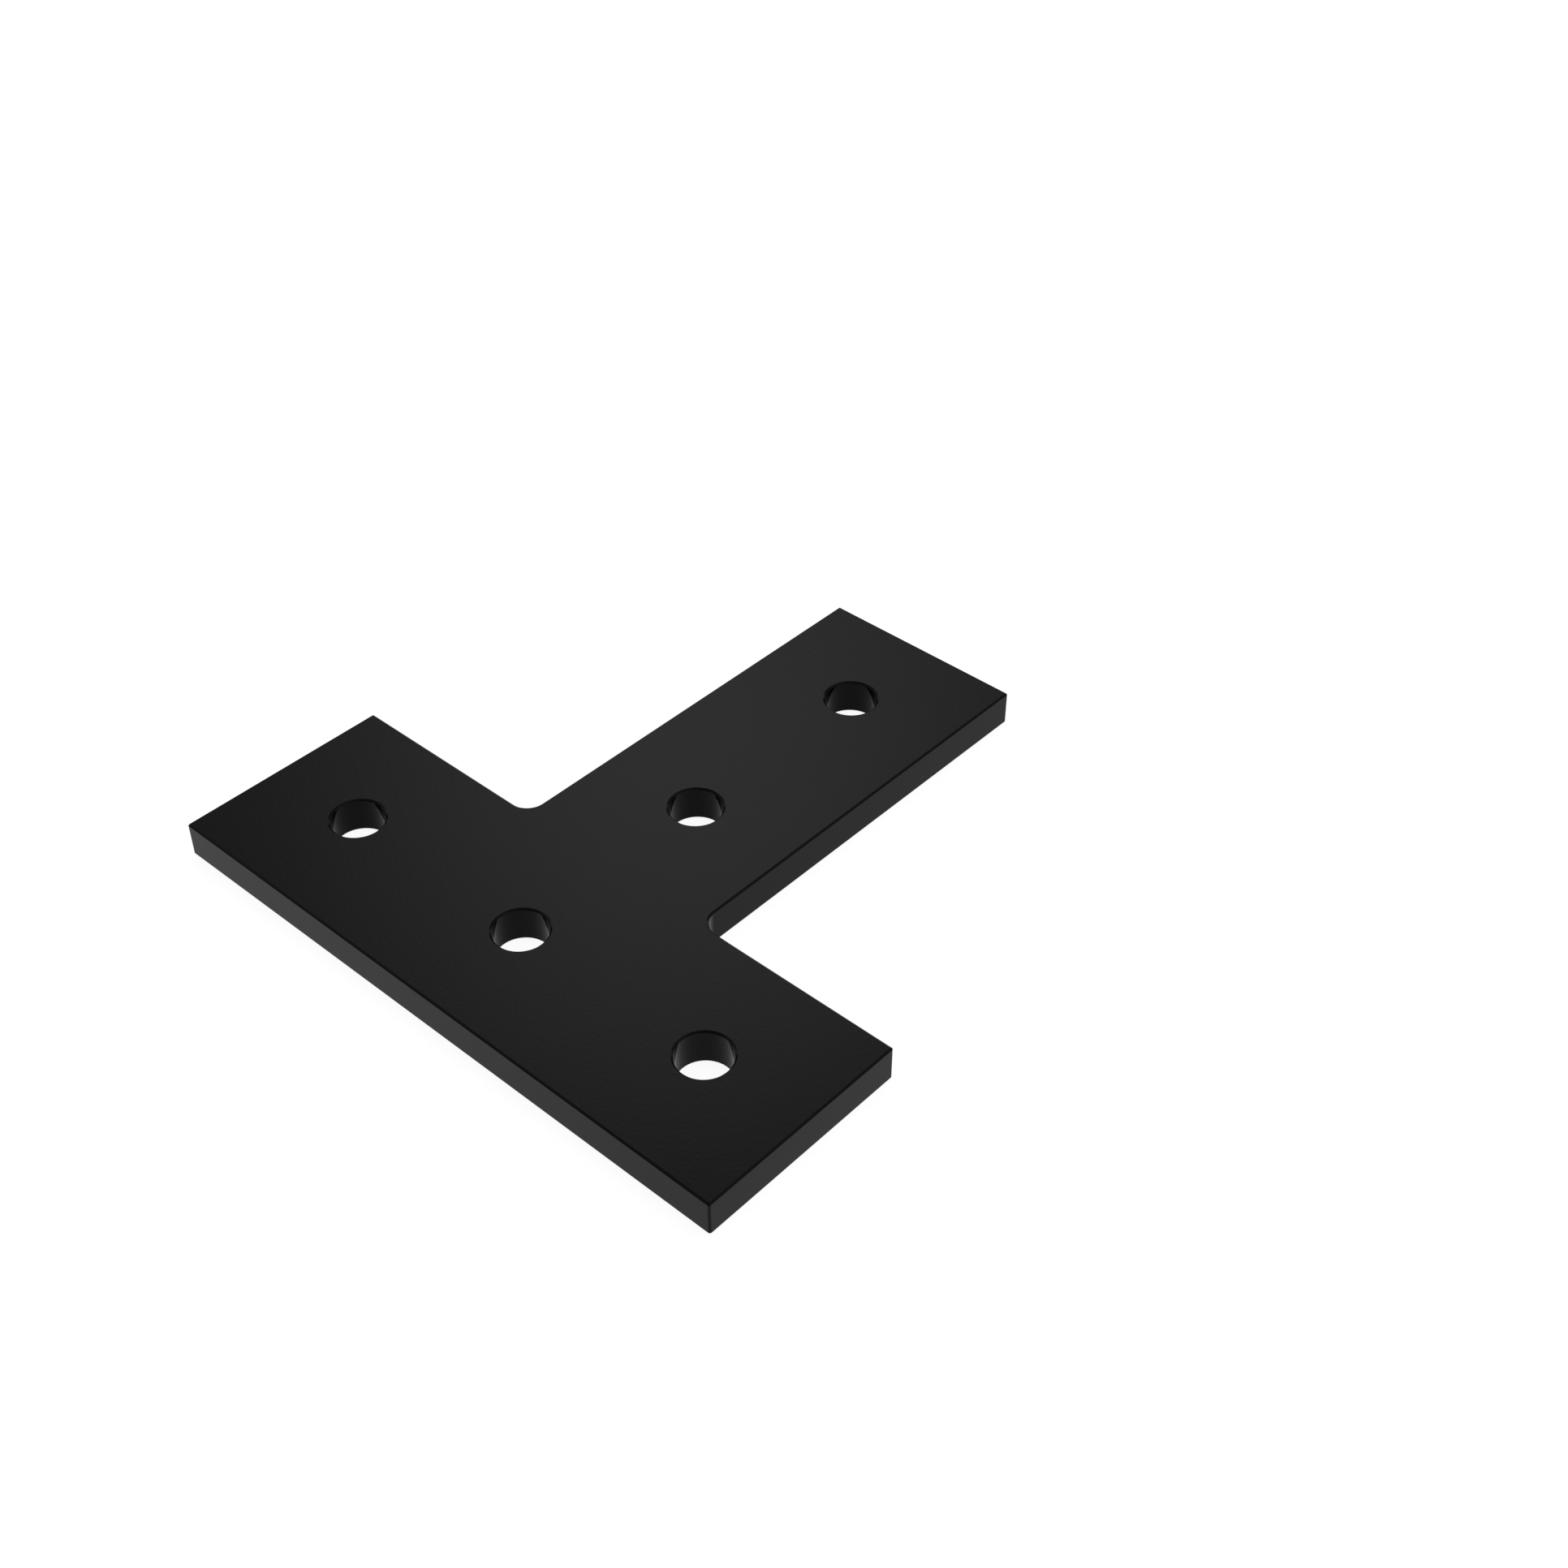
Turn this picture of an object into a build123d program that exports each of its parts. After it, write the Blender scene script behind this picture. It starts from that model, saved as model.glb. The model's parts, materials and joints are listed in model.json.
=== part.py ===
from build123d import *
import os

os.makedirs("parts", exist_ok=True)

# T-shaped joining plate for aluminium framing profiles, cut from one flat plate.
# Sizes are in millimetres. The origin is on the axis of the crossbar's middle hole, in the face
# that lies on the profiles. The crossbar runs along X and the stem along +Y, and the bolts go
# in from +Z.

# Driving dimensions
thickness = 5.0  # plate
crossbar_width = 30.0  # as wide as the profile under the crossbar
stem_width = 30.0  # as wide as the profile under the stem
hole_pitch = 30.0  # from each bolt to the next, along both arms
end_margin = 15.0  # from the last hole of an arm to the arm's end
hole_diameter = 7.0  # wide clearance for an M6 bolt
inner_corner_radius = 2.5  # where the stem meets the crossbar
edge_chamfer = 0.25  # breaks the edges of both faces and the mouths of the holes
corner_blend = 0.05  # keeps the outer corners round where the chamfers cut into them

crossbar_holes = 3  # centred on the stem
stem_holes = 2  # past the crossbar's row

# Sizes that follow
crossbar_length = (crossbar_holes - 1) * hole_pitch + 2 * end_margin
stem_end = stem_holes * hole_pitch + end_margin
bar_end = crossbar_length / 2
bar_side = crossbar_width / 2
stem_side = stem_width / 2
outer_corner_radius = edge_chamfer + corner_blend

# The outline's corners, each with its radius, round from the crossbar's near left corner
outline_corners = [
    (-bar_end, -bar_side, outer_corner_radius),
    (bar_end, -bar_side, outer_corner_radius),
    (bar_end, bar_side, outer_corner_radius),
    (stem_side, bar_side, inner_corner_radius),
    (stem_side, stem_end, outer_corner_radius),
    (-stem_side, stem_end, outer_corner_radius),
    (-stem_side, bar_side, inner_corner_radius),
    (-bar_end, bar_side, outer_corner_radius),
]

with BuildPart() as joining_plate:
    with BuildSketch():
        with BuildLine():
            FilletPolyline(
                *[(x, y) for x, y, radius in outline_corners],
                radius=[radius for x, y, radius in outline_corners],
                close=True,
            )
        make_face()
    extrude(amount=thickness)

    # Bolt holes, through the plate: a row along the crossbar and a row up the stem
    with Locations((0, 0, thickness)):
        with GridLocations(hole_pitch, 0, crossbar_holes, 1):
            Hole(hole_diameter / 2)
    with Locations((0, hole_pitch, thickness)):
        with GridLocations(0, hole_pitch, 1, stem_holes, align=(Align.CENTER, Align.MIN)):
            Hole(hole_diameter / 2)

    # One small chamfer round both faces: the whole outline and the mouth of each hole
    flat_faces = joining_plate.faces().filter_by(Axis.Z)
    chamfer(flat_faces.edges(), edge_chamfer)

joining_plate.part.label = "joining_plate"
export_step(joining_plate.part, "parts/joining_plate.step")
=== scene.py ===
import json
import math

import bpy
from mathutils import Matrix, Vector


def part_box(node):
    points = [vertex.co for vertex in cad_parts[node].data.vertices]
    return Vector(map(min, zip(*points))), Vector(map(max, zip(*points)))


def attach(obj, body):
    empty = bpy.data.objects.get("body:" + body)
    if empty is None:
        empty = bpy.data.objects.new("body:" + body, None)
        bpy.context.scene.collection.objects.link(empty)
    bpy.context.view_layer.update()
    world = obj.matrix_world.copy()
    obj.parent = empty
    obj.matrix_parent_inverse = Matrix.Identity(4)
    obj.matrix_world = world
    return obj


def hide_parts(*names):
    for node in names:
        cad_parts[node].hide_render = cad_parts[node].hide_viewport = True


# A T-shaped plate that joins two framing profiles: a crossbar, a stem and a row of bolt holes
# along each, with a black coat. Metres, in the frame of the CAD part: the crossbar runs along X,
# the stem along +Y, and Z = 0 is the face that lies on the profiles.

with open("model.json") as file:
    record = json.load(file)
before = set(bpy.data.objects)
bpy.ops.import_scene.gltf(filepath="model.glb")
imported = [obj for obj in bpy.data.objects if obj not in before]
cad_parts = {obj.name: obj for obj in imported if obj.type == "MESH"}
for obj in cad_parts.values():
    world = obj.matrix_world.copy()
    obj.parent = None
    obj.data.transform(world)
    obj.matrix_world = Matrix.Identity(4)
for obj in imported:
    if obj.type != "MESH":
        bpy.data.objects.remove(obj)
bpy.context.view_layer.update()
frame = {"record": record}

MM = 0.001
WHITE = (1.0, 1.0, 1.0, 1.0)


# ---------------------------------------------------------------------------------------------
# Sizes: the frame gives all but the last three, which are the CAD part's own
# ---------------------------------------------------------------------------------------------

mounts = {mount["name"]: mount for mount in frame["record"]["mounts"]}
plate_low, plate_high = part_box("joining_plate")

thickness = plate_high.z - plate_low.z
crossbar_length = plate_high.x - plate_low.x
crossbar_width = -2 * plate_low.y  # the crossbar's holes lie on its middle line, at Y = 0
stem_width = crossbar_width
stem_end = plate_high.y
hole_radius = mounts["crossbar_middle_hole"]["dims"]["r_mm"] * MM
hole_pitch = mounts["stem_bolts"]["dims"]["spacing_y_mm"] * MM
inner_corner_radius = 2.5 * MM
outer_corner_radius = 0.3 * MM
edge_chamfer = 0.25 * MM


# ---------------------------------------------------------------------------------------------
# Node trees
# ---------------------------------------------------------------------------------------------


def add_node(tree, kind, inputs=None, **settings):
    """One node in a tree. inputs is {socket name or number: value, or the socket it comes from}."""
    node = tree.nodes.new(kind)
    for name, value in settings.items():
        setattr(node, name, value)
    for key, value in (inputs or {}).items():
        if isinstance(value, bpy.types.NodeSocket):
            tree.links.new(value, node.inputs[key])
        else:
            node.inputs[key].default_value = value
    return node


def math_node(tree, operation, *values):
    return add_node(tree, "ShaderNodeMath", dict(enumerate(values)), operation=operation).outputs[0]


def add_inputs(tree, sockets):
    for name, kind in sockets.items():
        tree.interface.new_socket(name, in_out="INPUT", socket_type="NodeSocket" + kind)


# ---------------------------------------------------------------------------------------------
# The plate's shape
# ---------------------------------------------------------------------------------------------


def outline_curve(tree, size):
    """The T as a closed curve, with wide inner corners and slightly rounded outer ones."""
    bar_end = math_node(tree, "MULTIPLY", size["Crossbar Length"], 0.5)
    bar_side = math_node(tree, "MULTIPLY", size["Crossbar Width"], 0.5)
    stem_side = math_node(tree, "MULTIPLY", size["Stem Width"], 0.5)
    stem_top = size["Stem End"]

    def minus(value):
        return math_node(tree, "MULTIPLY", value, -1.0)

    corners = [
        (minus(bar_end), minus(bar_side)),
        (bar_end, minus(bar_side)),
        (bar_end, bar_side),
        (stem_side, bar_side),
        (stem_side, stem_top),
        (minus(stem_side), stem_top),
        (minus(stem_side), bar_side),
        (minus(bar_end), bar_side),
    ]
    index = add_node(tree, "GeometryNodeInputIndex").outputs[0]
    place = add_node(tree, "GeometryNodeIndexSwitch", {"Index": index}, data_type="VECTOR")
    while len(place.index_switch_items) < len(corners):
        place.index_switch_items.new()
    for number, (x, y) in enumerate(corners):
        corner = add_node(tree, "ShaderNodeCombineXYZ", {"X": x, "Y": y})
        tree.links.new(corner.outputs[0], place.inputs[str(number)])
    points = add_node(
        tree, "GeometryNodePoints", {"Count": len(corners), "Position": place.outputs[0]}
    )
    line = add_node(tree, "GeometryNodePointsToCurves", {"Points": points.outputs[0]})
    closed = add_node(
        tree, "GeometryNodeSetSplineCyclic", {"Geometry": line.outputs[0], "Cyclic": True}
    )

    # The inner corners are the two where the stem's sides end on the crossbar
    position = add_node(tree, "GeometryNodeInputPosition").outputs[0]
    corner_place = add_node(tree, "ShaderNodeSeparateXYZ", {0: position})
    from_middle = math_node(tree, "ABSOLUTE", corner_place.outputs["X"])
    past_stem = math_node(tree, "SUBTRACT", from_middle, stem_side)
    past_bar = math_node(tree, "SUBTRACT", corner_place.outputs["Y"], bar_side)
    off_corner = math_node(
        tree, "ADD", math_node(tree, "ABSOLUTE", past_stem), math_node(tree, "ABSOLUTE", past_bar)
    )
    is_inner = math_node(tree, "LESS_THAN", off_corner, size["Inner Corner Radius"])
    widening = math_node(tree, "SUBTRACT", size["Inner Corner Radius"], size["Outer Corner Radius"])
    radius = math_node(tree, "MULTIPLY_ADD", is_inner, widening, size["Outer Corner Radius"])
    rounded = add_node(
        tree,
        "GeometryNodeFilletCurve",
        {"Curve": closed.outputs[0], "Count": size["Corner Steps"], "Radius": radius},
        mode="POLY",
    )
    return rounded.outputs[0]


def hole_row(tree, size, count, start, step):
    """Circles of the holes' size, in a row."""
    circle = add_node(
        tree,
        "GeometryNodeCurvePrimitiveCircle",
        {"Resolution": size["Hole Steps"], "Radius": size["Hole Radius"]},
    )
    row = add_node(
        tree, "GeometryNodeMeshLine", {"Count": count, "Start Location": start, "Offset": step}
    )
    holes = add_node(
        tree,
        "GeometryNodeInstanceOnPoints",
        {"Points": row.outputs[0], "Instance": circle.outputs[0]},
    )
    return holes.outputs[0]


def plate_tree():
    """A tree that makes the plate with sharp edges: outline and holes, filled and thickened."""
    tree = bpy.data.node_groups.new("t_plate", "GeometryNodeTree")
    tree.interface.new_socket("Geometry", in_out="OUTPUT", socket_type="NodeSocketGeometry")
    add_inputs(
        tree,
        {
            "Crossbar Length": "Float",
            "Crossbar Width": "Float",
            "Stem Width": "Float",
            "Stem End": "Float",
            "Thickness": "Float",
            "Hole Pitch": "Float",
            "Crossbar Holes": "Int",
            "Stem Holes": "Int",
            "Hole Radius": "Float",
            "Hole Steps": "Int",
            "Inner Corner Radius": "Float",
            "Outer Corner Radius": "Float",
            "Corner Steps": "Int",
            "Coat": "Material",
        },
    )
    given = tree.nodes.new("NodeGroupInput")
    size = given.outputs
    pitch = size["Hole Pitch"]

    gaps = math_node(tree, "SUBTRACT", size["Crossbar Holes"], 1.0)
    row_length = math_node(tree, "MULTIPLY", gaps, pitch)
    first_x = math_node(tree, "MULTIPLY", row_length, -0.5)
    along_bar = add_node(tree, "ShaderNodeCombineXYZ", {"X": pitch}).outputs[0]
    bar_start = add_node(tree, "ShaderNodeCombineXYZ", {"X": first_x}).outputs[0]
    along_stem = add_node(tree, "ShaderNodeCombineXYZ", {"Y": pitch}).outputs[0]
    crossbar_holes = hole_row(tree, size, size["Crossbar Holes"], bar_start, along_bar)
    stem_holes = hole_row(tree, size, size["Stem Holes"], along_stem, along_stem)

    curves = add_node(tree, "GeometryNodeJoinGeometry")
    for piece in (stem_holes, crossbar_holes, outline_curve(tree, size)):
        tree.links.new(piece, curves.inputs[0])
    realized = add_node(tree, "GeometryNodeRealizeInstances", {"Geometry": curves.outputs[0]})
    face = add_node(tree, "GeometryNodeFillCurve", {"Curve": realized.outputs[0]}, mode="NGONS")

    up = add_node(tree, "ShaderNodeCombineXYZ", {"Z": size["Thickness"]}).outputs[0]
    thick = add_node(
        tree,
        "GeometryNodeExtrudeMesh",
        {"Mesh": face.outputs[0], "Offset": up, "Individual": False},
        mode="FACES",
    )
    underside = add_node(tree, "GeometryNodeFlipFaces", {"Mesh": face.outputs[0]})
    both = add_node(tree, "GeometryNodeJoinGeometry")
    for piece in (thick.outputs[0], underside.outputs[0]):
        tree.links.new(piece, both.inputs[0])
    merged = add_node(
        tree, "GeometryNodeMergeByDistance", {"Geometry": both.outputs[0], "Distance": 0.001 * MM}
    )
    whole = add_node(tree, "GeometryNodeRealizeInstances", {"Geometry": merged.outputs[0]})
    coated = add_node(
        tree, "GeometryNodeSetMaterial", {"Geometry": whole.outputs[0], "Material": size["Coat"]}
    )
    result = tree.nodes.new("NodeGroupOutput")
    tree.links.new(coated.outputs[0], result.inputs[0])
    return tree


def set_inputs(modifier, values):
    """Sets a Geometry Nodes modifier's inputs by their names, through their identifiers."""
    for item in modifier.node_group.interface.items_tree:
        if item.item_type == "SOCKET" and item.in_out == "INPUT" and item.name in values:
            modifier[item.identifier] = values[item.name]


def bake(piece):
    """Bakes a piece's modifiers into one plain mesh, which takes the place of its old one."""
    depsgraph = bpy.context.evaluated_depsgraph_get()
    mesh = bpy.data.meshes.new_from_object(piece.evaluated_get(depsgraph))
    piece.modifiers.clear()
    piece.data = mesh
    return mesh


def make_plate(coat):
    """The plate as one plain mesh, with a small flat chamfer round both faces and every hole."""
    plate = bpy.data.objects.new("black_plate", bpy.data.meshes.new("black_plate"))
    bpy.context.scene.collection.objects.link(plate)
    shape = plate.modifiers.new("shape", "NODES")
    shape.node_group = plate_tree()
    set_inputs(
        shape,
        {
            "Crossbar Length": crossbar_length,
            "Crossbar Width": crossbar_width,
            "Stem Width": stem_width,
            "Stem End": stem_end,
            "Thickness": thickness,
            "Hole Pitch": hole_pitch,
            "Crossbar Holes": 3,
            "Stem Holes": 2,
            "Hole Radius": hole_radius,
            "Hole Steps": 96,
            "Inner Corner Radius": inner_corner_radius,
            "Outer Corner Radius": outer_corner_radius,
            "Corner Steps": 16,
            "Coat": coat,
        },
    )
    chamfer = plate.modifiers.new("chamfer", "BEVEL")
    chamfer.width = edge_chamfer
    chamfer.segments = 1
    chamfer.limit_method = "ANGLE"
    chamfer.angle_limit = math.radians(40)
    chamfer.loop_slide = False
    chamfer.use_clamp_overlap = False
    mesh = bake(plate)
    mesh.materials.pop(index=0)  # the empty slot of the object's first, empty mesh

    # Round stretches are shaded smooth, and the walls and chamfers next to them stay flat
    mesh.shade_smooth()
    mesh.set_sharp_from_angle(angle=math.radians(30))
    flat_walls = plate.modifiers.new("flat_walls", "WEIGHTED_NORMAL")
    flat_walls.keep_sharp = True
    bake(plate)
    return plate


# ---------------------------------------------------------------------------------------------
# Materials
# ---------------------------------------------------------------------------------------------


def empty_material(name):
    """A material with nothing in its tree but the output."""
    material = bpy.data.materials.new(name)
    material.use_nodes = True
    tree = material.node_tree
    tree.nodes.clear()
    return material, tree, tree.nodes.new("ShaderNodeOutputMaterial")


def noise(tree, place, scale, detail):
    """Noise over the object, about 0 to 1. scale is in features per metre."""
    texture = add_node(
        tree, "ShaderNodeTexNoise", {"Vector": place, "Scale": scale, "Detail": detail}
    )
    return texture.outputs["Fac"]


def between(tree, factor, low, high):
    """Spreads the middle of a noise over the range from low to high."""
    ranged = add_node(
        tree,
        "ShaderNodeMapRange",
        {"Value": factor, "From Min": 0.3, "From Max": 0.7, "To Min": low, "To Max": high},
    )
    return ranged.outputs["Result"]


def black_coat():
    """Glossy black coating with the fine peel that a sprayed and baked coat has."""
    material, tree, output = empty_material("glossy_black_coat")
    place = tree.nodes.new("ShaderNodeTexCoord").outputs["Object"]

    # The colour and the gloss drift a little over the face
    shade_noise = noise(tree, place, scale=90.0, detail=3.0)
    shade = between(tree, shade_noise, low=0.0013, high=0.0017)
    colour = add_node(tree, "ShaderNodeCombineColor", {"Red": shade, "Green": shade, "Blue": shade})
    gloss_noise = noise(tree, place, scale=400.0, detail=4.0)
    face_roughness = between(tree, gloss_noise, low=0.095, high=0.11)

    # Peel: soft dimples about half a millimetre across, with a finer grain in them
    grain_share = 0.1
    dimples = noise(tree, place, scale=1800.0, detail=1.0)
    grain = noise(tree, place, scale=4500.0, detail=1.0)
    peel = math_node(tree, "MULTIPLY_ADD", grain, grain_share, dimples)
    peel_depth = 0.006 * MM

    # The chamfers are narrower than a dimple: the coat is thin there, without peel and duller
    chamfer_slope = math.cos(math.radians(45))
    slack = 0.1
    extra_roughness = 0.1
    normal = tree.nodes.new("ShaderNodeNewGeometry").outputs["True Normal"]
    upward = add_node(tree, "ShaderNodeSeparateXYZ", {0: normal}).outputs["Z"]
    slope = math_node(tree, "ABSOLUTE", upward)
    on_chamfer = math_node(tree, "COMPARE", slope, chamfer_slope, slack)
    strength = math_node(tree, "SUBTRACT", 1.0, on_chamfer)
    roughness = math_node(tree, "MULTIPLY_ADD", on_chamfer, extra_roughness, face_roughness)
    bump = add_node(
        tree, "ShaderNodeBump", {"Height": peel, "Strength": strength, "Distance": peel_depth}
    )

    coat = add_node(
        tree,
        "ShaderNodeBsdfPrincipled",
        {
            "Base Color": colour.outputs[0],
            "Roughness": roughness,
            "IOR": 1.5,
            "Specular IOR Level": 0.068,
            "Normal": bump.outputs[0],
        },
    )
    tree.links.new(coat.outputs[0], output.inputs["Surface"])
    return material


def pale_floor():
    """White floor. What looks at it or mirrors it sees it lit from within, and its shadows stay."""
    colour_when_lighting = (0.8, 0.8, 0.8, 1.0)
    colour_when_seen = (0.14, 0.14, 0.14, 1.0)
    glow_when_seen = 0.90
    material, tree, output = empty_material("pale_floor")
    ray = tree.nodes.new("ShaderNodeLightPath").outputs
    seen_or_mirrored = math_node(tree, "MAXIMUM", ray["Is Camera Ray"], ray["Is Glossy Ray"])
    seen = math_node(tree, "MAXIMUM", seen_or_mirrored, ray["Is Transmission Ray"])
    colour = add_node(
        tree,
        "ShaderNodeMix",
        {"Factor": seen, "A": colour_when_lighting, "B": colour_when_seen},
        data_type="RGBA",
    )
    lit = add_node(tree, "ShaderNodeBsdfDiffuse", {"Color": colour.outputs["Result"]})
    strength = math_node(tree, "MULTIPLY", seen, glow_when_seen)
    glow = add_node(tree, "ShaderNodeEmission", {"Color": WHITE, "Strength": strength})
    both = add_node(tree, "ShaderNodeAddShader", {0: lit.outputs[0], 1: glow.outputs[0]})
    tree.links.new(both.outputs[0], output.inputs["Surface"])
    return material


# ---------------------------------------------------------------------------------------------
# Camera, floor and light
# ---------------------------------------------------------------------------------------------

# The studio's level away from its glows and the horizon, where 1 is white
studio_level = 0.371

# The soft lights of the studio. azimuth runs from +Y towards +X, and both angles are in degrees.
# brightness is what a glow adds at its middle, and a high narrowness makes it small.
studio_glows = {
    "behind_left": dict(azimuth=-45.4, elevation=42.35, brightness=2.19, narrowness=67.0),
    "right": dict(azimuth=64.0, elevation=29.6, brightness=0.56, narrowness=7.2),
    "front_left": dict(azimuth=232.0, elevation=22.0, brightness=0.43, narrowness=6.6),
    "overhead": dict(azimuth=55.0, elevation=78.0, brightness=3.0, narrowness=12.0),
}


def add_camera():
    """A camera in front of the plate on the right, which looks down at it."""
    place = Vector((147.73, -117.42, 184.34)) * MM
    look_down = 40.121
    turn = 42.007
    camera = bpy.data.objects.new("camera", bpy.data.cameras.new("camera"))
    bpy.context.scene.collection.objects.link(camera)
    camera.data.lens = 50
    camera.data.sensor_width = 36
    camera.data.clip_start = 0.01
    camera.location = place
    camera.rotation_euler = (math.radians(90 - look_down), 0, math.radians(turn))
    bpy.context.scene.camera = camera


def add_floor():
    """A wide floor just under the plate."""
    reach = 20.0
    gap = 0.01 * MM
    level = plate_low.z - gap
    mesh = bpy.data.meshes.new("floor")
    corners = [(-reach, -reach), (reach, -reach), (reach, reach), (-reach, reach)]
    mesh.from_pydata([(x, y, level) for x, y in corners], [], [(0, 1, 2, 3)])
    mesh.materials.append(pale_floor())
    floor = bpy.data.objects.new("floor", mesh)
    bpy.context.scene.collection.objects.link(floor)


def toward(azimuth, elevation):
    """The direction of a place in the studio."""
    turn = math.radians(azimuth)
    rise = math.radians(elevation)
    level_part = math.cos(rise)
    return Vector((math.sin(turn) * level_part, math.cos(turn) * level_part, math.sin(rise)))


def add_glow(tree, direction, level, azimuth, elevation, brightness, narrowness):
    """The studio's level with a round soft glow added to it."""
    nearness = add_node(
        tree,
        "ShaderNodeVectorMath",
        {0: direction, 1: toward(azimuth, elevation)},
        operation="DOT_PRODUCT",
    )
    facing = math_node(tree, "MAXIMUM", nearness.outputs["Value"], 0.0)
    fading = math_node(tree, "POWER", facing, narrowness)
    return math_node(tree, "MULTIPLY_ADD", fading, brightness, level)


def add_world():
    """A studio that is white near the horizon and dim above it, with soft glows in it."""
    world = bpy.data.worlds.new("studio")
    world.use_nodes = True
    bpy.context.scene.world = world
    tree = world.node_tree
    tree.nodes.clear()
    direction = tree.nodes.new("ShaderNodeTexCoord").outputs["Generated"]
    height = add_node(tree, "ShaderNodeSeparateXYZ", {0: direction}).outputs["Z"]

    level = studio_level
    for glow in studio_glows.values():
        level = add_glow(tree, direction, level, **glow)

    # Heights are sines of the elevation
    white_below = 0.10
    studio_above = 0.22
    blend = add_node(
        tree,
        "ShaderNodeMapRange",
        {
            "Value": height,
            "From Min": white_below,
            "From Max": studio_above,
            "To Min": 1.0,
            "To Max": level,
        },
        interpolation_type="SMOOTHSTEP",
    )
    sky = add_node(
        tree, "ShaderNodeBackground", {"Color": WHITE, "Strength": blend.outputs["Result"]}
    )
    output = tree.nodes.new("ShaderNodeOutputWorld")
    tree.links.new(sky.outputs[0], output.inputs["Surface"])


# ---------------------------------------------------------------------------------------------
# The scene
# ---------------------------------------------------------------------------------------------

plate = make_plate(black_coat())
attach(plate, "root")
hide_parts("joining_plate")

add_camera()
add_floor()
add_world()
bpy.context.scene.view_settings.view_transform = "Standard"
